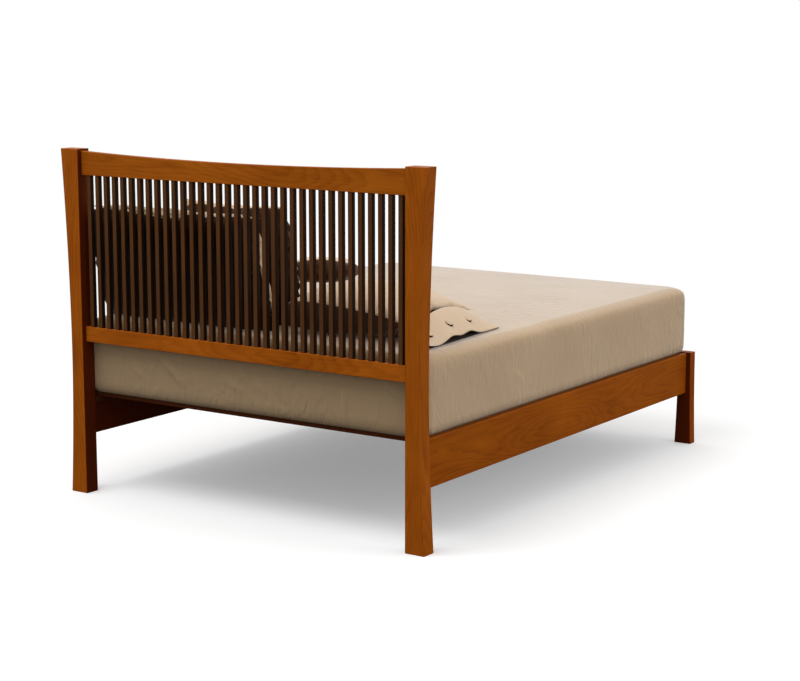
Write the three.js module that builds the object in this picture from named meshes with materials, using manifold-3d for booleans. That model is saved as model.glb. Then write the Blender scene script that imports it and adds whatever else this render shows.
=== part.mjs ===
// A queen bed with a spindle headboard: cherry frame, walnut spindles, slats, mattress and pillows.
// Millimetres. +Z is up, +Y points to the headboard, and the origin lies on the floor
// under the middle of the bed.
import * as THREE from "three";
import { mergeVertices } from "three/addons/utils/BufferGeometryUtils.js";
import Module from "manifold-3d";

// Mattress that the bed is built around
const MATTRESS_WIDTH = 1524;
const MATTRESS_LENGTH = 2032;
const MATTRESS_HEIGHT = 292;
const MATTRESS_CROWN = 4;
const MATTRESS_BULGE = 29;
const MATTRESS_HEAD_BULGE = 3;
const MATTRESS_CORNER = 46;
const MATTRESS_EDGE_ROUND = 26;
const MATTRESS_BASE_ROUND = 6;
const MATTRESS_SIDE_GAP = 11.5;
const MATTRESS_END_GAP = 4.75;

// Boards of the frame
const RAIL_THICKNESS = 25.4;
const RAIL_HEIGHT = 175;
const RAIL_FLOOR_CLEARANCE = 223.5;
const RAIL_EDGE_ROUND = 3;
const CLEAT_WIDTH = 22;
const CLEAT_HEIGHT = 25;
const CLEAT_EDGE = 2;
const SLAT_COUNT = 9;
const SLAT_WIDTH = 139.7;
const SLAT_THICKNESS = 19;
const SLAT_EDGE = 2.5;
const SLAT_DROP = 3.5;
const SLAT_END_MARGIN = 20;

// Head posts, sawn to a curve on the outer edge
const HEAD_POST_HEIGHT = 1340;
const HEAD_POST_DEPTH = 62;
const HEAD_POST_WAIST = 59;
const HEAD_POST_WAIST_HEIGHT = 580;
const HEAD_POST_FOOT_FLARE = 21;
const HEAD_POST_TOP_FLARE = 28.5;
const HEAD_POST_INSET = 27;

// Foot posts, spread at the floor on both edges
const FOOT_POST_RISE = 3.5;
const FOOT_POST_DEPTH = 44;
const FOOT_POST_WIDTH = 58.5;
const FOOT_POST_INNER_FLARE = 9.5;
const FOOT_POST_OUTER_FLARE = 8;
const FOOT_POST_INSET = 12;
const POST_CHAMFER = 1.6;

// Headboard rails and spindles
const CREST_TOP_SETBACK = 8;
const CREST_END_HEIGHT = 91.5;
const CREST_DIP = 16.3;
const LOWER_RAIL_BOTTOM = 599;
const LOWER_RAIL_HEIGHT = 58.4;
const HEAD_RAIL_CHAMFER = 1.5;
const SPINDLE_COUNT = 35;
const SPINDLE_SIDE = 19;
const SPINDLE_CHAMFER = 1.2;
const SPINDLE_TENON_SIDE = 9.5;
const SPINDLE_TENON_LENGTH = 13;

// Joinery
const TENON_LENGTH = 30;
const TENON_SHOULDER = 9;
const FIT = 0.3;
const CUT_OVERRUN = 5;
const HOOK_THICKNESS = 3;
const HOOK_REACH = 13;
const HOOK_HEIGHT = 26;
const HOOK_LIP_DEPTH = 6;
const HOOK_LIP_DROP = 10;
const HOOK_ROOT = 10;
const HOOK_SPREAD = 95;

// Pillows
const PILLOW_WIDTH = 836;
const PILLOW_HEIGHT = 468;
const PILLOW_LOFT = 150;
const SQUARE_PILLOW_SIDE = 490;
const SQUARE_PILLOW_LOFT = 120;
const THROW_PILLOW_WIDTH = 280;
const THROW_PILLOW_LOFT = 98;
const SHAM_WIDTH = 530;
const SHAM_HEIGHT = 520;
const SHAM_LOFT = 200;
const SHAM_FLAP = 100;
const SHAM_FLAP_THICKNESS = 7;
const SHAM_FLAP_DROOP = 70;
const SHAM_FLAP_WAVE = 18;
const SHAM_FLAP_WAVE_LENGTH = 330;
const SOFT_GAP = 0.5;
const SETTLE_BACK = 0.2;

// Places of the pillows on the mattress
const PILLOW_SIDE_MARGIN = 3;
const SQUARE_PILLOW_SHAM_GAP = 7;
const SHAM_PILLOW_GAP = 36;
const SHAM_HEAD_MARGIN = 100;
const THROW_PILLOW_SIDESTEP = 176;
const THROW_PILLOW_HEAD_MARGIN = 478;
const THROW_PILLOW_RISE = 280;
const PILLOW_LEAN = THREE.MathUtils.degToRad(14);
const SHAM_TURN = THREE.MathUtils.degToRad(4);
const THROW_PILLOW_LEAN = THREE.MathUtils.degToRad(82);
const THROW_PILLOW_TURN = THREE.MathUtils.degToRad(30);

// Shares and counts that set the fineness of the curves
const FLARE_POWER = 1.8;
const FOOT_FLARE_POWER = 2;
const CURVE_STEPS = 12;
const CREST_STEPS = 28;
const MATTRESS_STEPS = 14;
const MATTRESS_CORNER_STEPS = 6;
const MATTRESS_BASE_POWER = 4;
const MATTRESS_TOP_POWER = 9;
const MATTRESS_CROWN_SHARES = [0.93, 0.75, 0.5, 0.25];
const SEAM_DRAW_SHARE = 0.07;
const PUFF_POWER = 0.42;
const SHAM_OUTER_PUFF_POWER = 0.75;
const SHAM_INNER_PUFF_POWER = 0.1;
const TENON_THICKNESS_SHARE = 0.5;
const PILLOW_STEPS = 14;
const PILLOW_FLAT_SHARE = 0.09;
const STANDING_UNDERSIDE_SHARE = 0.5;
const LYING_UNDERSIDE_SHARE = 0.44;
const FLAP_OVERLAP_SHARE = 0.12;
const FLAP_STEPS = 6;
const FLAP_WAVE_STEPS = 16;

// Places worked out from the sizes above
const railInner = MATTRESS_WIDTH / 2 + MATTRESS_SIDE_GAP;
const railTop = RAIL_FLOOR_CLEARANCE + RAIL_HEIGHT;
const railLength = MATTRESS_LENGTH + 2 * MATTRESS_END_GAP;
const overallLength = HEAD_POST_DEPTH + railLength + FOOT_POST_DEPTH;
const headBack = overallLength / 2;
const headFront = headBack - HEAD_POST_DEPTH;
const footFront = -overallLength / 2;
const footBack = footFront + FOOT_POST_DEPTH;
const headPostInner = railInner - HEAD_POST_INSET;
const footPostInner = railInner - FOOT_POST_INSET;
const footPostHeight = railTop + FOOT_POST_RISE;
const headPlane = headBack - HEAD_POST_DEPTH / 2;
const headRailFront = headPlane - RAIL_THICKNESS / 2;
const footPlane = footBack - FOOT_POST_DEPTH / 2;
const crestEndTop = HEAD_POST_HEIGHT - CREST_TOP_SETBACK;
const crestBottom = crestEndTop - CREST_END_HEIGHT;
const lowerRailTop = LOWER_RAIL_BOTTOM + LOWER_RAIL_HEIGHT;
const slatTop = railTop - SLAT_DROP;
const cleatTop = slatTop - SLAT_THICKNESS - FIT;
const mattressBottom = slatTop + FIT;
const mattressEdgeTop = mattressBottom + MATTRESS_HEIGHT;
const mattressMiddle = (headFront + footBack) / 2;
const longPillowX = MATTRESS_WIDTH / 2 + MATTRESS_BULGE - PILLOW_SIDE_MARGIN - PILLOW_WIDTH / 2;
const shamX = longPillowX - PILLOW_WIDTH / 2 - SHAM_PILLOW_GAP - SHAM_WIDTH / 2;
const squarePillowX = shamX + SHAM_WIDTH / 2 + SQUARE_PILLOW_SHAM_GAP + SQUARE_PILLOW_SIDE / 2;
const throwPillowX = squarePillowX - THROW_PILLOW_SIDESTEP;

const CHERRY = { color: 0x8f4a14, roughness: 0.45, metalness: 0 };
const WALNUT = { color: 0x4b2d19, roughness: 0.5, metalness: 0 };
const POPLAR = { color: 0x9a5a2c, roughness: 0.7, metalness: 0 };
const COVER = { color: 0xcdbba0, roughness: 0.9, metalness: 0 };
const PILLOW_BROWN = { color: 0x3a2416, roughness: 0.9, metalness: 0 };
const PILLOW_BEIGE = { color: 0xd9c4a0, roughness: 0.9, metalness: 0 };

const wasm = await Module();
wasm.setup();

const bed = new THREE.Group();

// Booleans, made on solids whose shared corners are merged
function toSolid(geometry) {
  const bare = geometry.clone();
  bare.deleteAttribute("normal");
  bare.deleteAttribute("uv");
  const merged = mergeVertices(bare);
  return new wasm.Manifold(
    new wasm.Mesh({
      numProp: 3,
      vertProperties: new Float32Array(merged.attributes.position.array),
      triVerts: new Uint32Array(merged.index.array),
    }),
  );
}

function toGeometry(solid) {
  const mesh = solid.getMesh();
  const geometry = new THREE.BufferGeometry();
  geometry.setAttribute("position", new THREE.BufferAttribute(mesh.vertProperties, mesh.numProp));
  geometry.setIndex(new THREE.BufferAttribute(mesh.triVerts, 1));
  return geometry;
}

function cut(geometry, tools) {
  const left = tools.reduce((solid, tool) => solid.subtract(toSolid(tool)), toSolid(geometry));
  return toGeometry(left);
}

function join(...geometries) {
  const [first, ...rest] = geometries.map(toSolid);
  return toGeometry(rest.reduce((solid, other) => solid.add(other), first));
}

function addPiece(name, geometry, look) {
  geometry.computeVertexNormals();
  const mesh = new THREE.Mesh(geometry, new THREE.MeshStandardMaterial(look));
  mesh.name = name;
  bed.add(mesh);
}

// A box given by its two opposite corners
function boxBetween(low, high) {
  const size = high.map((value, axis) => value - low[axis]);
  const middle = high.map((value, axis) => (value + low[axis]) / 2);
  return new THREE.BoxGeometry(...size).translate(...middle);
}

// A shape drawn in X and Z, made solid from one Y to another, with its long edges chamfered
function sawnBoard(shape, fromY, toY, chamfer) {
  const board = new THREE.ExtrudeGeometry(shape, {
    depth: toY - fromY - 2 * chamfer,
    steps: 1,
    curveSegments: 1,
    bevelEnabled: chamfer > 0,
    bevelSize: chamfer,
    bevelThickness: chamfer,
    bevelOffset: -chamfer,
    bevelSegments: 1,
  });
  return board.rotateX(Math.PI / 2).translate(0, toY - chamfer, 0);
}

// A rectangle with rounded corners, drawn about a centre
function roundedSection(width, height, radius, centreX, centreY) {
  const x = width / 2 - radius;
  const y = height / 2 - radius;
  const shape = new THREE.Shape();
  const corners = [
    [x, y, 0],
    [-x, y, 1],
    [-x, -y, 2],
    [x, -y, 3],
  ];
  for (const [cornerX, cornerY, quarter] of corners) {
    const start = (quarter * Math.PI) / 2;
    shape.absarc(centreX + cornerX, centreY + cornerY, radius, start, start + Math.PI / 2, false);
  }
  return shape;
}

// A board that runs along Y, given by the middle of its section
function boardAlongY(width, height, radius, centreX, centreZ, fromY, toY) {
  const shape = roundedSection(width, height, radius, centreX, centreZ);
  const board = new THREE.ExtrudeGeometry(shape, {
    depth: toY - fromY,
    steps: 1,
    curveSegments: 2,
    bevelEnabled: false,
  });
  return board.rotateX(Math.PI / 2).translate(0, toY, 0);
}

// Head post: straight inner edge, outer edge waisted above the side rail
function headPostOuter(z) {
  const below = z < HEAD_POST_WAIST_HEIGHT;
  const reach = below ? HEAD_POST_WAIST_HEIGHT : HEAD_POST_HEIGHT - HEAD_POST_WAIST_HEIGHT;
  const flare = below ? HEAD_POST_FOOT_FLARE : HEAD_POST_TOP_FLARE;
  const share = Math.abs(z - HEAD_POST_WAIST_HEIGHT) / reach;
  return headPostInner + HEAD_POST_WAIST + flare * share ** FLARE_POWER;
}

function headPostShape(side) {
  const shape = new THREE.Shape();
  shape.moveTo(side * headPostInner, 0);
  shape.lineTo(side * headPostOuter(0), 0);
  const lower = HEAD_POST_WAIST_HEIGHT / CURVE_STEPS;
  for (let step = 1; step <= CURVE_STEPS; step += 1) {
    shape.lineTo(side * headPostOuter(step * lower), step * lower);
  }
  const upper = (HEAD_POST_HEIGHT - HEAD_POST_WAIST_HEIGHT) / CURVE_STEPS;
  for (let step = 1; step <= CURVE_STEPS; step += 1) {
    const z = HEAD_POST_WAIST_HEIGHT + step * upper;
    shape.lineTo(side * headPostOuter(z), z);
  }
  shape.lineTo(side * headPostInner, HEAD_POST_HEIGHT);
  shape.closePath();
  return shape;
}

// Foot post: both edges spread towards the floor
function footPostShape(side) {
  const shape = new THREE.Shape();
  const edge = (inner, flare, step) => {
    const share = 1 - step / CURVE_STEPS;
    return inner + flare * share ** FOOT_FLARE_POWER;
  };
  const outer = footPostInner + FOOT_POST_WIDTH;
  const rise = footPostHeight / CURVE_STEPS;
  shape.moveTo(side * edge(footPostInner, -FOOT_POST_INNER_FLARE, 0), 0);
  for (let step = 0; step <= CURVE_STEPS; step += 1) {
    shape.lineTo(side * edge(outer, FOOT_POST_OUTER_FLARE, step), step * rise);
  }
  for (let step = CURVE_STEPS; step > 0; step -= 1) {
    shape.lineTo(side * edge(footPostInner, -FOOT_POST_INNER_FLARE, step), step * rise);
  }
  shape.closePath();
  return shape;
}

// Tenon on the end of a rail that runs across the bed, and the mortise that takes it
function tenonBox(side, shoulderX, planeY, bottom, top, clearance) {
  const half = (RAIL_THICKNESS * TENON_THICKNESS_SHARE) / 2 + clearance;
  const inside = side * (shoulderX - CUT_OVERRUN);
  const end = side * (shoulderX + TENON_LENGTH + clearance);
  return boxBetween(
    [Math.min(inside, end), planeY - half, bottom + TENON_SHOULDER - clearance],
    [Math.max(inside, end), planeY + half, top - TENON_SHOULDER + clearance],
  );
}

// Rail hook: a steel tongue whose lip drops behind the face of the post
function hookShape(rootY, direction, middleZ) {
  const tip = rootY + direction * (FIT + HOOK_REACH);
  const lip = tip - direction * HOOK_LIP_DEPTH;
  const top = middleZ + HOOK_HEIGHT / 2;
  const bottom = middleZ - HOOK_HEIGHT / 2;
  const shape = new THREE.Shape();
  shape.moveTo(rootY - direction * HOOK_ROOT, top);
  shape.lineTo(rootY - direction * HOOK_ROOT, bottom + HOOK_LIP_DROP);
  shape.lineTo(lip, bottom + HOOK_LIP_DROP);
  shape.lineTo(lip, bottom);
  shape.lineTo(tip, bottom);
  shape.lineTo(tip, top);
  shape.closePath();
  return shape;
}

// A shape drawn in Y and Z, made solid across X about a centre
function plateAcrossX(shape, thickness, centreX) {
  const plate = new THREE.ExtrudeGeometry(shape, {
    depth: thickness,
    steps: 1,
    curveSegments: 2,
    bevelEnabled: false,
  });
  const turn = new THREE.Matrix4().makeBasis(
    new THREE.Vector3(0, 1, 0),
    new THREE.Vector3(0, 0, 1),
    new THREE.Vector3(1, 0, 0),
  );
  return plate.applyMatrix4(turn).translate(centreX - thickness / 2, 0, 0);
}

function hookHeights() {
  const middle = RAIL_FLOOR_CLEARANCE + RAIL_HEIGHT / 2;
  return [middle - HOOK_SPREAD / 2, middle + HOOK_SPREAD / 2];
}

function railHooks(side, rootY, direction) {
  const centreX = side * (railInner + RAIL_THICKNESS / 2);
  return hookHeights().map((z) => plateAcrossX(hookShape(rootY, direction, z), HOOK_THICKNESS, centreX));
}

// Keyhole in the post for a hook: a mouth to enter by, and a pocket for the lip
function hookPockets(side, faceY, direction) {
  const centreX = side * (railInner + RAIL_THICKNESS / 2);
  const half = HOOK_THICKNESS / 2 + FIT;
  const pocket = (nearY, farY, bottom, top) => {
    const low = [centreX - half, Math.min(nearY, farY), bottom];
    const high = [centreX + half, Math.max(nearY, farY), top];
    return boxBetween(low, high);
  };
  const back = faceY + direction * (HOOK_REACH + FIT);
  const lipFront = faceY + direction * (HOOK_REACH - HOOK_LIP_DEPTH - FIT);
  return hookHeights().flatMap((z) => {
    const lipBottom = z - HOOK_HEIGHT / 2 - FIT;
    const mouthBottom = z - HOOK_HEIGHT / 2 + HOOK_LIP_DROP - FIT;
    const mouthTop = z + HOOK_HEIGHT / 2 + HOOK_LIP_DROP;
    return [
      pocket(faceY - direction * CUT_OVERRUN, back, mouthBottom, mouthTop),
      pocket(lipFront, back, lipBottom, mouthTop),
    ];
  });
}

function addHeadPosts() {
  for (const [name, side] of [
    ["head_post_left", 1],
    ["head_post_right", -1],
  ]) {
    const blank = sawnBoard(headPostShape(side), headFront, headBack, POST_CHAMFER);
    const mortises = [
      tenonBox(side, headPostInner, headPlane, crestBottom, crestEndTop, FIT),
      tenonBox(side, headPostInner, headPlane, LOWER_RAIL_BOTTOM, lowerRailTop, FIT),
      ...hookPockets(side, headFront, 1),
    ];
    addPiece(name, cut(blank, mortises), CHERRY);
  }
}

function addFootPosts() {
  for (const [name, side] of [
    ["foot_post_left", 1],
    ["foot_post_right", -1],
  ]) {
    const blank = sawnBoard(footPostShape(side), footFront, footBack, POST_CHAMFER);
    const mortises = [
      tenonBox(side, footRailShoulder(), footPlane, RAIL_FLOOR_CLEARANCE, railTop, FIT),
      ...hookPockets(side, footBack, -1),
    ];
    addPiece(name, cut(blank, mortises), CHERRY);
  }
}

// The foot rail's shoulder meets the flared inner edge at the rail's own bottom
function footRailShoulder() {
  const share = 1 - RAIL_FLOOR_CLEARANCE / footPostHeight;
  return footPostInner - FOOT_POST_INNER_FLARE * share ** FOOT_FLARE_POWER;
}

// Spindles stand with equal gaps between each other and the posts
function spindlePlaces() {
  const clear = 2 * headPostInner - SPINDLE_COUNT * SPINDLE_SIDE;
  const pitch = clear / (SPINDLE_COUNT + 1) + SPINDLE_SIDE;
  const first = -((SPINDLE_COUNT - 1) * pitch) / 2;
  return Array.from({ length: SPINDLE_COUNT }, (_, index) => first + index * pitch);
}

function spindleMortises(faceZ, direction) {
  const half = SPINDLE_TENON_SIDE / 2 + FIT;
  const deep = faceZ + direction * (SPINDLE_TENON_LENGTH + FIT);
  const open = faceZ - direction * CUT_OVERRUN;
  return spindlePlaces().map((x) =>
    boxBetween(
      [x - half, headPlane - half, Math.min(deep, open)],
      [x + half, headPlane + half, Math.max(deep, open)],
    ),
  );
}

function railBetweenPosts(shape, planeY, shoulder, bottom, top) {
  const half = RAIL_THICKNESS / 2;
  const board = sawnBoard(shape, planeY - half, planeY + half, HEAD_RAIL_CHAMFER);
  return join(
    board,
    tenonBox(1, shoulder, planeY, bottom, top, 0),
    tenonBox(-1, shoulder, planeY, bottom, top, 0),
  );
}

function straightRailShape(halfLength, bottom, top) {
  const shape = new THREE.Shape();
  shape.moveTo(-halfLength, bottom);
  shape.lineTo(halfLength, bottom);
  shape.lineTo(halfLength, top);
  shape.lineTo(-halfLength, top);
  shape.closePath();
  return shape;
}

// Crest rail: its upper edge dips in the middle
function addCrestRail() {
  const half = headPostInner - FIT;
  const shape = new THREE.Shape();
  shape.moveTo(-half, crestBottom);
  shape.lineTo(half, crestBottom);
  for (let step = 0; step <= CREST_STEPS; step += 1) {
    const share = 1 - (2 * step) / CREST_STEPS;
    shape.lineTo(half * share, crestEndTop - CREST_DIP * (1 - share * share));
  }
  shape.closePath();
  const rail = railBetweenPosts(shape, headPlane, headPostInner, crestBottom, crestEndTop);
  addPiece("crest_rail", cut(rail, spindleMortises(crestBottom, 1)), CHERRY);
}

function addLowerHeadRail() {
  const shape = straightRailShape(headPostInner - FIT, LOWER_RAIL_BOTTOM, lowerRailTop);
  const rail = railBetweenPosts(shape, headPlane, headPostInner, LOWER_RAIL_BOTTOM, lowerRailTop);
  addPiece("lower_head_rail", cut(rail, spindleMortises(lowerRailTop, -1)), CHERRY);
}

function addSpindles() {
  const bottom = lowerRailTop + FIT;
  const top = crestBottom - FIT;
  const half = SPINDLE_SIDE / 2;
  const flat = half - SPINDLE_CHAMFER;
  const section = new THREE.Shape([
    new THREE.Vector2(flat, -half),
    new THREE.Vector2(half, -flat),
    new THREE.Vector2(half, flat),
    new THREE.Vector2(flat, half),
    new THREE.Vector2(-flat, half),
    new THREE.Vector2(-half, flat),
    new THREE.Vector2(-half, -flat),
    new THREE.Vector2(-flat, -half),
  ]);
  const stick = new THREE.ExtrudeGeometry(section, { depth: top - bottom, steps: 1, bevelEnabled: false });
  stick.translate(0, headPlane, bottom);
  const tenonHalf = SPINDLE_TENON_SIDE / 2;
  const tenons = boxBetween(
    [-tenonHalf, headPlane - tenonHalf, bottom - SPINDLE_TENON_LENGTH],
    [tenonHalf, headPlane + tenonHalf, top + SPINDLE_TENON_LENGTH],
  );
  const spindle = join(stick, tenons);
  spindlePlaces().forEach((x, index) => {
    const number = String(index + 1).padStart(2, "0");
    addPiece(`spindle_${number}`, spindle.clone().translate(x, 0, 0), WALNUT);
  });
}

function addSideRails() {
  for (const [name, side] of [
    ["side_rail_left", 1],
    ["side_rail_right", -1],
  ]) {
    const centreX = side * (railInner + RAIL_THICKNESS / 2);
    const centreZ = RAIL_FLOOR_CLEARANCE + RAIL_HEIGHT / 2;
    const toY = headFront - FIT;
    const fromY = footBack + FIT;
    const board = boardAlongY(RAIL_THICKNESS, RAIL_HEIGHT, RAIL_EDGE_ROUND, centreX, centreZ, fromY, toY);
    const rail = join(board, ...railHooks(side, toY, 1), ...railHooks(side, fromY, -1));
    addPiece(name, rail, CHERRY);
  }
}

function addFootRail() {
  const shape = straightRailShape(footRailShoulder() - FIT, RAIL_FLOOR_CLEARANCE, railTop);
  const rail = railBetweenPosts(shape, footPlane, footRailShoulder(), RAIL_FLOOR_CLEARANCE, railTop);
  addPiece("foot_rail", rail, CHERRY);
}

// Cleats are glued and screwed to the inner faces of the side rails, and carry the slats
function addCleats() {
  for (const [name, side] of [
    ["slat_cleat_left", 1],
    ["slat_cleat_right", -1],
  ]) {
    const centreX = side * (railInner - FIT - CLEAT_WIDTH / 2);
    const centreZ = cleatTop - CLEAT_HEIGHT / 2;
    const fromY = footBack + MATTRESS_END_GAP;
    const toY = headFront - MATTRESS_END_GAP;
    const cleat = boardAlongY(CLEAT_WIDTH, CLEAT_HEIGHT, CLEAT_EDGE, centreX, centreZ, fromY, toY);
    addPiece(name, cleat, POPLAR);
  }
}

function addSlats() {
  const half = railInner - 2 * FIT;
  const first = headFront - SLAT_END_MARGIN - SLAT_WIDTH / 2;
  const last = footBack + SLAT_END_MARGIN + SLAT_WIDTH / 2;
  const pitch = (first - last) / (SLAT_COUNT - 1);
  const centreZ = slatTop - SLAT_THICKNESS / 2;
  for (let index = 0; index < SLAT_COUNT; index += 1) {
    const section = roundedSection(SLAT_WIDTH, SLAT_THICKNESS, SLAT_EDGE, first - index * pitch, centreZ);
    addPiece(`slat_${index + 1}`, plateAcrossX(section, 2 * half, 0), POPLAR);
  }
}

// Walls between rings of points that run the same way round, closed by a fan at each end
function loft(rings) {
  const count = rings[0].length;
  const middle = (ring) =>
    ring.reduce((sum, point) => sum.add(point), new THREE.Vector3()).divideScalar(count);
  const points = [...rings.flat(), middle(rings[0]), middle(rings.at(-1))];
  const lowest = points.length - 2;
  const index = [];
  for (let corner = 0; corner < count; corner += 1) {
    const next = (corner + 1) % count;
    index.push(lowest, next, corner);
    for (let ring = 0; ring < rings.length - 1; ring += 1) {
      const low = ring * count;
      const high = low + count;
      index.push(low + corner, low + next, high + next, low + corner, high + next, high + corner);
    }
    const top = (rings.length - 1) * count;
    index.push(top + corner, top + next, lowest + 1);
  }
  const geometry = new THREE.BufferGeometry().setFromPoints(points);
  geometry.setIndex(index);
  return geometry;
}

// How far a rounded edge stands back at a height above or below its end
function roundInset(height, radius) {
  if (height >= radius) return 0;
  return radius - Math.sqrt(radius ** 2 - (radius - height) ** 2);
}

// One level of the mattress: a rectangle with rounded corners
function mattressRing(side, head, foot, z) {
  const low = mattressMiddle - MATTRESS_LENGTH / 2 - foot;
  const high = mattressMiddle + MATTRESS_LENGTH / 2 + head;
  const half = MATTRESS_WIDTH / 2 + side;
  const corners = [
    [half, high, 0],
    [-half, high, 1],
    [-half, low, 2],
    [half, low, 3],
  ];
  return corners.flatMap(([x, y, quarter]) =>
    Array.from({ length: MATTRESS_CORNER_STEPS + 1 }, (_, step) => {
      const angle = ((quarter + step / MATTRESS_CORNER_STEPS) * Math.PI) / 2;
      const px = x - Math.sign(x) * MATTRESS_CORNER + MATTRESS_CORNER * Math.cos(angle);
      const inward = quarter < 2 ? -MATTRESS_CORNER : MATTRESS_CORNER;
      return new THREE.Vector3(px, y + inward + MATTRESS_CORNER * Math.sin(angle), z);
    }),
  );
}

function addMattress() {
  const levels = Array.from({ length: MATTRESS_STEPS + 1 }, (_, step) => {
    const share = (1 - Math.cos((Math.PI * step) / MATTRESS_STEPS)) / 2;
    const height = share * MATTRESS_HEIGHT;
    const inset =
      roundInset(height, MATTRESS_BASE_ROUND) +
      roundInset(MATTRESS_HEIGHT - height, MATTRESS_EDGE_ROUND);
    const power = share < 0.5 ? MATTRESS_BASE_POWER : MATTRESS_TOP_POWER;
    const swell = 1 - Math.abs(2 * share - 1) ** power;
    const side = MATTRESS_BULGE * swell - inset;
    const head = MATTRESS_HEAD_BULGE * swell - inset;
    return mattressRing(side, head, side, mattressBottom + height);
  });
  const edge = levels.at(-1);
  const crown = MATTRESS_CROWN_SHARES.map((share) =>
    edge.map(
      (point) =>
        new THREE.Vector3(
          point.x * share,
          mattressMiddle + (point.y - mattressMiddle) * share,
          mattressEdgeTop + MATTRESS_CROWN * (1 - share ** 2),
        ),
    ),
  );
  const mattress = loft([...levels, ...crown]);
  addPiece("mattress", mattress, COVER);
  return mattress;
}

// A stuffed pad lying flat about the origin: puffed faces, sides drawn in between pointed corners.
// The underside's share of the thickness lies below the seam, and the ends differ in fullness.
function puffedPad(width, height, thickness, undersideShare, puffPowers = [PUFF_POWER, PUFF_POWER]) {
  const points = [];
  const index = [];
  const row = PILLOW_STEPS + 1;
  const place = (face, i, j) => (face * row + i) * row + j;
  for (const face of [0, 1]) {
    for (let i = 0; i < row; i += 1) {
      for (let j = 0; j < row; j += 1) {
        const u = Math.sin(Math.PI * (i / PILLOW_STEPS - 0.5));
        const v = Math.sin(Math.PI * (j / PILLOW_STEPS - 0.5));
        const power = THREE.MathUtils.lerp(...puffPowers, (u + 1) / 2);
        const puff = Math.max((1 - u * u) * (1 - v * v), 0) ** power;
        const x = (width / 2) * u * (1 - SEAM_DRAW_SHARE * (1 - v * v) * u * u);
        const y = (height / 2) * v * (1 - SEAM_DRAW_SHARE * (1 - u * u) * v * v);
        const rim = i === 0 || j === 0 || i === PILLOW_STEPS || j === PILLOW_STEPS;
        const z = rim ? 0 : (face - undersideShare) * puff * thickness;
        points.push(new THREE.Vector3(x, y, z));
      }
    }
  }
  for (let i = 0; i < PILLOW_STEPS; i += 1) {
    for (let j = 0; j < PILLOW_STEPS; j += 1) {
      const under = [place(0, i, j), place(0, i, j + 1), place(0, i + 1, j + 1), place(0, i + 1, j)];
      const over = [place(1, i, j), place(1, i + 1, j), place(1, i + 1, j + 1), place(1, i, j + 1)];
      for (const [a, b, c, d] of [under, over]) index.push(a, b, c, a, c, d);
    }
  }
  const geometry = new THREE.BufferGeometry().setFromPoints(points);
  geometry.setIndex(index);
  return toGeometry(toSolid(geometry));
}

// What lies lowest is pressed flat, by a share of the pad's thickness
function pressBase(geometry, depth) {
  geometry.computeBoundingBox();
  const floor = geometry.boundingBox.min.z + depth;
  const position = geometry.getAttribute("position");
  for (let index = 0; index < position.count; index += 1) {
    position.setZ(index, Math.max(position.getZ(index), floor));
  }
  return geometry;
}

// Moves a soft piece one way until it all but touches what carries it
function settle(geometry, direction, supports) {
  const caster = new THREE.Raycaster();
  const look = new THREE.MeshBasicMaterial({ side: THREE.DoubleSide });
  const toMesh = (shape) => new THREE.Mesh(shape, look);
  const corner = new THREE.Vector3();
  const nearest = (from, targets, way) => {
    const position = from.getAttribute("position");
    let least = Infinity;
    for (let index = 0; index < position.count; index += 1) {
      caster.set(corner.fromBufferAttribute(position, index), way);
      const [hit] = caster.intersectObjects(targets, false);
      if (hit) least = Math.min(least, hit.distance);
    }
    return least;
  };
  const forward = nearest(geometry, supports.map(toMesh), direction);
  const back = direction.clone().negate();
  const backward = Math.min(...supports.map((shape) => nearest(shape, [toMesh(geometry)], back)));
  const travel = Math.min(forward, backward) - SOFT_GAP;
  geometry.translate(...direction.clone().multiplyScalar(travel).toArray());
  const step = back.multiplyScalar(SETTLE_BACK).toArray();
  const solids = supports.map(toSolid);
  while (solids.some((solid) => solid.intersect(toSolid(geometry)).volume() > 0)) {
    geometry.translate(...step);
  }
  return geometry;
}

const down = new THREE.Vector3(0, 0, -1);
const headward = new THREE.Vector3(0, 1, 0);

// A pillow on its edge, leaning back towards the headboard
function standingPad(width, height, thickness, centreX) {
  const pad = puffedPad(width, height, thickness, STANDING_UNDERSIDE_SHARE);
  pad.rotateX(Math.PI / 2 - PILLOW_LEAN);
  pressBase(pad, thickness * PILLOW_FLAT_SHARE);
  return pad.translate(centreX, 0, mattressEdgeTop + MATTRESS_HEIGHT);
}

function addPillows(mattress) {
  const pillow = standingPad(PILLOW_WIDTH, PILLOW_HEIGHT, PILLOW_LOFT, longPillowX);
  pillow.computeBoundingBox();
  pillow.translate(0, headRailFront - SOFT_GAP - pillow.boundingBox.max.y, 0);
  settle(pillow, down, [mattress]);
  addPiece("long_pillow", pillow, PILLOW_BROWN);

  const side = SQUARE_PILLOW_SIDE;
  const square = standingPad(side, side, SQUARE_PILLOW_LOFT, squarePillowX);
  settle(square, down, [mattress]);
  settle(square, headward, [pillow]);
  addPiece("square_pillow", square, PILLOW_BROWN);

  const sham = buttonSham();
  settle(sham, down, [mattress, pillow]);
  addPiece("button_sham", sham, PILLOW_BEIGE);

  const throwPillow = leaningThrowPillow();
  settle(throwPillow, down, [mattress, sham, square]);
  addPiece("throw_pillow", throwPillow, PILLOW_BROWN);
}

// Small pillow that lies on the sham's end with its head edge up against the square pillow
function leaningThrowPillow() {
  const side = THROW_PILLOW_WIDTH;
  const pad = puffedPad(side, side, THROW_PILLOW_LOFT, STANDING_UNDERSIDE_SHARE);
  pad.rotateX(Math.PI / 2 - THROW_PILLOW_LEAN);
  pad.rotateZ(THROW_PILLOW_TURN);
  const y = headFront - THROW_PILLOW_HEAD_MARGIN;
  return pad.translate(throwPillowX, y, mattressEdgeTop + THROW_PILLOW_RISE);
}

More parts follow.
